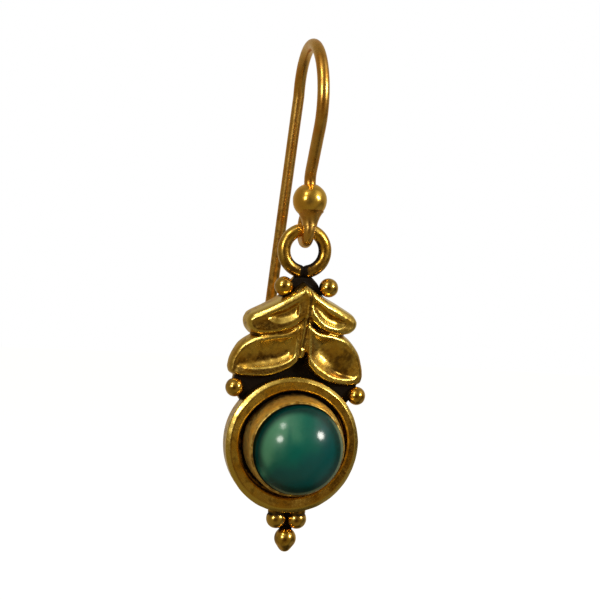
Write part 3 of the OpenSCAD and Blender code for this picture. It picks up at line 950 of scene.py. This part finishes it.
def relief_height(x, y):
    """Height of the cast relief at each point of the grid, and how far the bare plate lies open there."""
    points = np.stack([x.ravel(), y.ravel(), 0 * x.ravel()], -1)
    x = x + ripple(points, 0.014, 2.4, 81).reshape(x.shape)
    y = y + ripple(points, 0.014, 2.0, 82).reshape(x.shape)
    plate = np.full(x.shape, -3.0)
    for outline in (NECK_OUTLINE, LAP_OUTLINE):
        line = np.array(outline + outline[:1], float)
        d = distance_to(x, y, line)
        over = np.where(inside(x, y, line[:-1]), PLATE_TOP - rim_drop(d, 0.1), PLATE_TOP - 0.1 - DRAFT * d)
        plate = np.maximum(plate, over)
    lower = np.maximum(lower_leaf(x, y, RIGHT_LEAVES, RIGHT_BOWL, RIGHT_BOWL_TIP),
                       lower_leaf(-x, y, LEFT_LEAVES, LEFT_BOWL, LEFT_BOWL))
    upper = np.maximum(upper_leaf(x, y, RIGHT_LEAVES), upper_leaf(-x, y, LEFT_LEAVES))
    leaves = smooth_max(smooth_max(lower, stem(x, y), 0.05), upper, 0.12)
    leaves -= SEAM_DEPTH * np.exp(-(distance_to(x, y, curve(SEAM_LINE)) / 0.1) ** 2)
    z = smooth_max(plate, leaves, 0.04)
    bare = smoothstep(-0.02, 0.12, plate - leaves)
    z = blurred(z, 1) + (ripple(points, 0.006, 1.2, 83) + ripple(points, 0.003, 0.45, 84)).reshape(x.shape)
    return z, bare


def blurred(z, radius):
    """Mean over a square window, twice, like a round blur. Each pass blurs one way and turns the grid."""
    n = 2 * radius + 1
    for _ in range(4):
        total = np.cumsum(np.pad(z, [(radius + 1, radius), (0, 0)], mode="edge"), axis=0)
        z = ((total[n:] - total[:-n]) / n).T
    return z


def relief():
    """One surface over a square grid, black on the bare plate, brown in hollows, with painted shade where it
    faces down and in patches of the hollows, crests worn bright and lightened as painted highlights, and
    painted highlights on the scoops' lower walls.
    """
    xs = np.arange(-5.3, 5.3, RELIEF_STEP)
    ys = np.arange(-11.8, -1.3, RELIEF_STEP)
    x, y = np.meshgrid(xs, ys)
    z, bare = relief_height(x, y)
    open_z = np.maximum(z, CREASE_FLOOR)
    creases = smoothstep(0.05, 0.16, blurred(open_z, 3) - open_z)
    slope_y, slope_x = np.gradient(z, RELIEF_STEP)
    leaf = (1 - bare) * smoothstep(0.3, 0.5, z)
    walls = 0.28 * smoothstep(1.6, 3.2, np.hypot(slope_x, slope_y)) * smoothstep(-0.4, 0.4, z)
    # Painted shade on the leaves' surfaces that face down, more on the upper leaves
    under = smoothstep(0.3, 0.8, slope_y) * leaf
    painted_underside_shade = 0.3 * under * smoothstep(-5.3, -5.0, y) + 0.15 * under * smoothstep(-5.3, -5.6, y)
    seam = 0.5 * np.exp(-(distance_to(x, y, curve(SEAM_LINE)) / 0.12) ** 2)
    # Painted shade over parts of the hollows, kept brown rather than black
    painted_shade_patches = sum(spot(x, y, *row) for row in PAINTED_SHADE_PATCHES)
    plate = bare * smoothstep(-0.15, 0.1, z)
    # Crests worn bright, and lightened further as painted highlights
    wear_and_painted_highlight = smoothstep(0.012, 0.05, open_z - blurred(open_z, 3)) * leaf
    # Painted highlights on the scoops' lower walls, which face up
    painted_crescent_highlight = 0.5 * smoothstep(0.2, 0.5, -slope_y) * leaf * smoothstep(-5.6, -5.2, y)
    dark = np.maximum(np.minimum(painted_underside_shade + painted_shade_patches * leaf, 0.42), seam * leaf)
    shade = np.clip(0.42 * creases + 1.1 * plate + walls + dark - 0.9 * wear_and_painted_highlight - painted_crescent_highlight, -1, 1)
    points = np.stack([x, y, z], -1).reshape(-1, 3)
    faces = grid_faces(len(ys), len(xs), False)
    keep = (points[faces][:, :, 2] > PLATE_BACK - 0.6).any(axis=1)
    piece = drop_piece("leaf_relief", points, faces[keep], shade.ravel())
    close_back(piece)


def close_back(piece):
    """Cuts the relief off just before the flat ring's back and closes it there with plain metal."""
    bm = bmesh.new()
    bm.from_mesh(piece.data)
    bmesh.ops.delete(bm, geom=[v for v in bm.verts if not v.link_faces], context="VERTS")
    level = FACE @ Vector((0, 0, PLATE_BACK + 0.03))
    normal = (FACE.to_3x3() @ Vector((0, 0, 1))).normalized()
    bmesh.ops.bisect_plane(bm, geom=bm.verts[:] + bm.edges[:] + bm.faces[:], dist=1e-8, plane_co=level,
                           plane_no=normal, clear_inner=True)
    open_edges = [e for e in bm.edges if e.is_boundary]
    bmesh.ops.contextual_create(bm, geom=open_edges)
    bmesh.ops.triangulate(bm, faces=[f for f in bm.faces if len(f.verts) > 4])
    bmesh.ops.recalc_face_normals(bm, faces=bm.faces)
    bm.to_mesh(piece.data)
    bm.free()
    smooth(piece.data)
    behind = smoothstep(PLATE_BACK + 0.1, PLATE_BACK + 0.04, face_height(piece.data))
    store(piece.data, "patina_and_painted_light", read(piece.data, "patina_and_painted_light") * (1 - behind) + 0.12 * behind)


def foot_tail():
    """The end of the back plate between the foot granules."""
    right = [(0.3, -19.8), (0.8, -18.6), (0.95, -17.3)]
    outline = np.array([(-x, y) for x, y in reversed(right)] + right)
    middle = outline.mean(axis=0)
    n = len(outline)
    back, front = PLATE_BACK, PLATE_TOP - 0.1
    levels = [(0.92, back), (1.0, back + 0.06), (1.0, front - 0.06), (0.92, front)]
    rings = [np.column_stack([middle + (outline - middle) * size, np.full(n, z)]) for size, z in levels]
    points = np.vstack(rings)
    faces = grid_faces(len(levels), n, True).tolist()
    faces += [list(range(n)), list(range(len(points) - n, len(points)))]
    drop_piece("foot_tail", points, faces, np.ones(len(points)))


# Patina of the solder joints: how far from another piece it begins
CONTACT_REACH = 0.2


def surface_tree(mesh):
    return BVHTree.FromPolygons(coordinates(mesh).tolist(), [list(f.vertices) for f in mesh.polygons])


def add_contact_patina(pieces):
    """Darkens each piece where it lies close to another one, as solder joints hold black patina."""
    trees = {p.name: surface_tree(p.data) for p in pieces}
    for piece in pieces:
        others = [trees[p.name] for p in pieces if p != piece and boxes_meet(piece, p)]
        near = np.full(len(piece.data.vertices), CONTACT_REACH)
        for i, co in enumerate(coordinates(piece.data)):
            for tree in others:
                distance = tree.find_nearest(Vector(co), CONTACT_REACH * MM)[3]
                if distance is not None:
                    near[i] = min(near[i], distance / MM)
        in_front = 0.1 + 0.9 * smoothstep(PLATE_BACK + 0.05, PLATE_BACK + 0.2, face_height(piece.data))
        shade = read(piece.data, "patina_and_painted_light") + 0.65 * smoothstep(CONTACT_REACH, 0.04, near) * in_front
        store(piece.data, "patina_and_painted_light", np.clip(shade, -1, 1))


def boxes_meet(a, b):
    ca, cb = coordinates(a.data), coordinates(b.data)
    reach = CONTACT_REACH * MM
    return bool((ca.min(0) - reach < cb.max(0)).all() and (cb.min(0) - reach < ca.max(0)).all())


# Camera, floor and light
FLOOR_DROP = 9.0
FLOOR_R = 600.0
CAMERA_AT = (-15.2077, -65.83, -18.3575)
CAMERA_LEAN = math.radians(2.9)
CAMERA_LENS = 60.0
# Way from the bead to the camera, and the picture's right and up
FRONT = (Vector(CAMERA_AT) - BEAD_MIDDLE).normalized()
VIEW_RIGHT = Vector((math.cos(CAMERA_LEAN), 0, math.sin(CAMERA_LEAN)))
VIEW_RIGHT = (VIEW_RIGHT - VIEW_RIGHT.dot(FRONT) * FRONT).normalized()
VIEW_UP = FRONT.cross(VIEW_RIGHT)


def way_to(azimuth, off_front):
    """Direction at that angle off the front and that azimuth round it, with 0 to the right and 90 up."""
    a, t = math.radians(azimuth), math.radians(off_front)
    return math.cos(t) * FRONT + math.sin(t) * (math.cos(a) * VIEW_RIGHT + math.sin(a) * VIEW_UP)


def floor():
    """Pale round floor. The camera sees it nearly white, and the metal doesn't mirror it."""
    segments = 96
    low = CAD_BOX[0].z - FLOOR_DROP * MM
    angles = [i * 2 * math.pi / segments for i in range(segments)]
    edge = [(FLOOR_R * MM * math.cos(a), FLOOR_R * MM * math.sin(a), low) for a in angles]
    mesh = bpy.data.meshes.new("floor")
    mesh.from_pydata(edge, [], [list(range(segments))])
    piece = link("floor", mesh)
    mesh.materials.append(tree_of("floor_paper", PAPER_CONSTANTS)[0])
    piece.visible_glossy = False
    piece.visible_diffuse = False


# Small studio lamps
# columns: name, azimuth round the front, angle off the front, size in degrees from the earring, radiance
LAMPS = [
    ("lamp_left", 148, 35, 12, 16),
    ("lamp_left_high", 118, 54, 12, 9),
    ("lamp_right", 22.5, 63.5, 14, 25),
]
LAMP_AWAY = 140.0
LAMP_COLOUR = (1.0, 0.97, 0.9)
# Soft light on the walls round the lamps
GLOW_COLOUR = (1.0, 0.94, 0.82)
# columns: azimuth round the front, angle off the front, radius in degrees, radiance
GLOWS = [
    (148, 38, 24, 0.4),
    (110, 58, 30, 0.35),
    (28, 62, 26, 0.32),
    (39, 84, 24, 0.5),
    (-40, 94, 30, 0.14),
]
# Dark side of the room
# columns: azimuth round the front, angle off the front, radius in degrees, share of light that it takes
SHADES = [
    (-20, 92, 34, 0.7),
    (-45, 92, 42, 0.7),
    (-80, 92, 36, 0.75),
]
# The dim warm room by the angle off the front, to the white backdrop behind the earring
# columns: degrees off the front, red, green, blue
ROOM = [
    (0, 0.035, 0.019, 0.005),
    (13, 0.055, 0.032, 0.01),
    (26, 0.13, 0.087, 0.033),
    (41, 0.175, 0.135, 0.05),
    (60, 0.175, 0.138, 0.058),
    (80, 0.18, 0.142, 0.072),
    (100, 0.22, 0.17, 0.11),
    (118, 0.27, 0.22, 0.15),
    (135, 0.33, 0.29, 0.22),
    (158, 0.45, 0.42, 0.36),
    (180, 0.6, 0.6, 0.55),
]


def lights():
    middle = (CAD_BOX[0] + CAD_BOX[1]) / 2
    for name, azimuth, off_front, size, radiance in LAMPS:
        way = way_to(azimuth, off_front)
        light = bpy.data.lights.new(name, "AREA")
        light.shape = "DISK"
        light.size = 2 * LAMP_AWAY * MM * math.tan(math.radians(size / 2))
        area = math.pi * light.size ** 2 / 4
        light.energy = radiance * math.pi * area
        light.color = LAMP_COLOUR
        lamp = link(name, light)
        lamp.location = middle + way * LAMP_AWAY * MM
        lamp.rotation_mode = "QUATERNION"
        lamp.rotation_quaternion = way.to_track_quat("Z", "Y")


def world():
    """A dim warm room with glowing patches and a white backdrop behind. The camera sees plain white."""
    surroundings = bpy.data.worlds.new("studio")
    surroundings.use_nodes = True
    bpy.context.scene.world = surroundings
    tree = surroundings.node_tree
    way = add(tree, "ShaderNodeTexCoord").outputs["Generated"]

    def along(direction):
        node = add(tree, "ShaderNodeVectorMath", operation="DOT_PRODUCT")
        plug(tree, node.inputs[0], way)
        plug(tree, node.inputs[1], direction)
        return node.outputs["Value"]

    def patch(azimuth, off_front, radius, strength=1.0):
        reach = math.cos(math.radians(radius))
        return spread(tree, along(way_to(azimuth, off_front)), reach, 1.0, 0.0, strength)

    off_front = math_node(tree, "ARCCOSINE", along(FRONT), 0.0)
    ramp = add(tree, "ShaderNodeValToRGB", Fac=math_node(tree, "DIVIDE", off_front, math.pi))
    stops = ramp.color_ramp.elements
    for degrees, *_ in ROOM[1:-1]:
        stops.new(degrees / 180)
    for stop, (degrees, *colour) in zip(stops, ROOM):
        stop.position = degrees / 180
        stop.color = colour + [1]
    room = ramp.outputs["Color"]
    for *place, share in SHADES:
        room = mix(tree, patch(*place, share), room, (0, 0, 0, 1))
    for *place, radiance in GLOWS:
        warm = [radiance * part for part in GLOW_COLOUR] + [1]
        room = mix(tree, patch(*place), room, warm, "ADD")
    seen = add(tree, "ShaderNodeLightPath").outputs["Is Camera Ray"]
    plug(tree, tree.nodes["Background"].inputs["Color"], mix(tree, seen, room, (1, 1, 1, 1)))


def camera():
    """Stands where the photo's outlines say that it was taken from, and looks at the earring's middle."""
    data = bpy.data.cameras.new("camera")
    data.sensor_width = 36.0
    data.lens = CAMERA_LENS
    data.clip_start, data.clip_end = 0.005, 5.0
    eye = Vector(CAMERA_AT) * MM
    forward = ((CAD_BOX[0] + CAD_BOX[1]) / 2 - eye).normalized()
    up = Vector((-math.sin(CAMERA_LEAN), 0, math.cos(CAMERA_LEAN)))
    right = forward.cross(up).normalized()
    turn = Matrix((right, right.cross(forward), -forward)).transposed()
    piece = link("camera", data)
    piece.matrix_world = Matrix.Translation(eye) @ turn.to_4x4()
    bpy.context.scene.camera = piece


ear_wire()
eye_collar()
hook_bead()
hanging_ring()
granules()
foot_drums()
flat_ring()
bezel_cup()
cabochon()
relief()
foot_tail()
add_contact_patina([o for o in bpy.context.scene.objects if o.get("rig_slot") == "setting_brass"])
floor()
lights()
world()
camera()
bpy.context.scene.view_settings.view_transform = "Standard"
